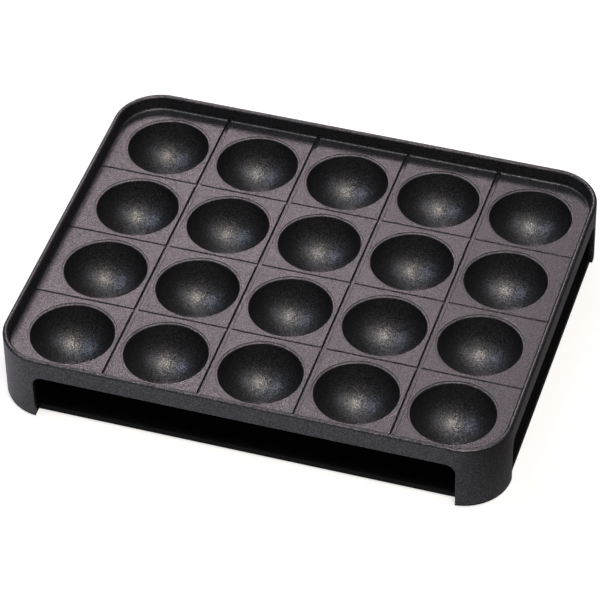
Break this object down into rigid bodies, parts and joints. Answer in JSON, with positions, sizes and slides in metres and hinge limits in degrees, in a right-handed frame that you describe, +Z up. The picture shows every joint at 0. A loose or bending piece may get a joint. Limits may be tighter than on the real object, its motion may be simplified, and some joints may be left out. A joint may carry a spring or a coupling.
{
  "type": "takoyaki maker",
  "caption": "Compact takoyaki maker: a lift-off cast plate with a grid of round wells, low rim and corner legs, standing over a flat heated base.",
  "frame": {"origin": "on the table, under the middle of the plate", "axes": "+X along the long side, +Y towards the back with the inlet, +Z up"},
  "size_m": [0.2494, 0.2024, 0.0373],
  "materials": {
    "nonstick_casting": "die-cast, non-stick coating with fine metallic flake, satin",
    "black_enamel": "pressed steel, baked black enamel",
    "bright_sheet": "pressed aluminised sheet",
    "heater_sheath": "heat-darkened sheath tube",
    "plated_steel": "zinc-plated",
    "brown_phenolic": "compression-moulded",
    "black_phenolic": "compression-moulded",
    "contact_brass": "turned and plated",
    "sensor_aluminium": "pressed cap",
    "spring_steel": "drawn wire",
    "fuse_sleeve": "woven glass sleeve",
    "lead_sleeve": "braided glass sleeve",
    "white_ceramic": "fired steatite",
    "dark_silicone": "moulded silicone"
  },
  "bodies": {
    "base": {"base_pan": "black_enamel", "reflector": "bright_sheet", "heater_element": "heater_sheath", "thermostat_bracket": "plated_steel", "thermostat_case": "brown_phenolic", "thermostat_tabs": "contact_brass", "sensor_spring": "spring_steel", "thermal_fuse": "fuse_sleeve", "fuse_strap": "plated_steel", "inlet_housing": "black_phenolic", "inlet_keeper": "plated_steel", "lead_neutral": "lead_sleeve", "lead_live": "lead_sleeve", "lead_fuse": "lead_sleeve", "lead_heater": "lead_sleeve", "clip_rivets": "plated_steel", "bracket_rivets": "plated_steel", "strap_rivet": "plated_steel", "reflector_screws": "plated_steel", "inlet_screws": "plated_steel", "heater_clip_front_left": "plated_steel", "heater_clip_front_right": "plated_steel", "heater_clip_side_left": "plated_steel", "heater_clip_side_right": "plated_steel", "heater_clip_rear_left": "plated_steel", "heater_clip_rear_right": "plated_steel", "heater_clip_tail_left": "plated_steel", "heater_clip_tail_right": "plated_steel", "foot_front_left": "dark_silicone", "foot_front_right": "dark_silicone", "foot_rear_left": "dark_silicone", "foot_rear_right": "dark_silicone", "heater_bush_left": "white_ceramic", "heater_pin_left": "plated_steel", "inlet_pin_left": "contact_brass", "heater_bush_right": "white_ceramic", "heater_pin_right": "plated_steel", "inlet_pin_right": "contact_brass"},
    "plate": {"cooking_plate": "nonstick_casting"},
    "sensor": {"sensor_button": "sensor_aluminium"}
  },
  "joints": [
    {"name": "plate_lift", "type": "slide", "parent": "base", "child": "plate", "axis": [0, 0, 1], "range_m": [0, 0.05]},
    {"name": "sensor_press", "type": "slide", "parent": "base", "child": "sensor", "axis": [0, 0, 1], "range_m": [-0.0015, 0], "stiffness_N_per_m": 300, "springref_m": 0.001, "deforming": ["sensor_spring"]}
  ]
}
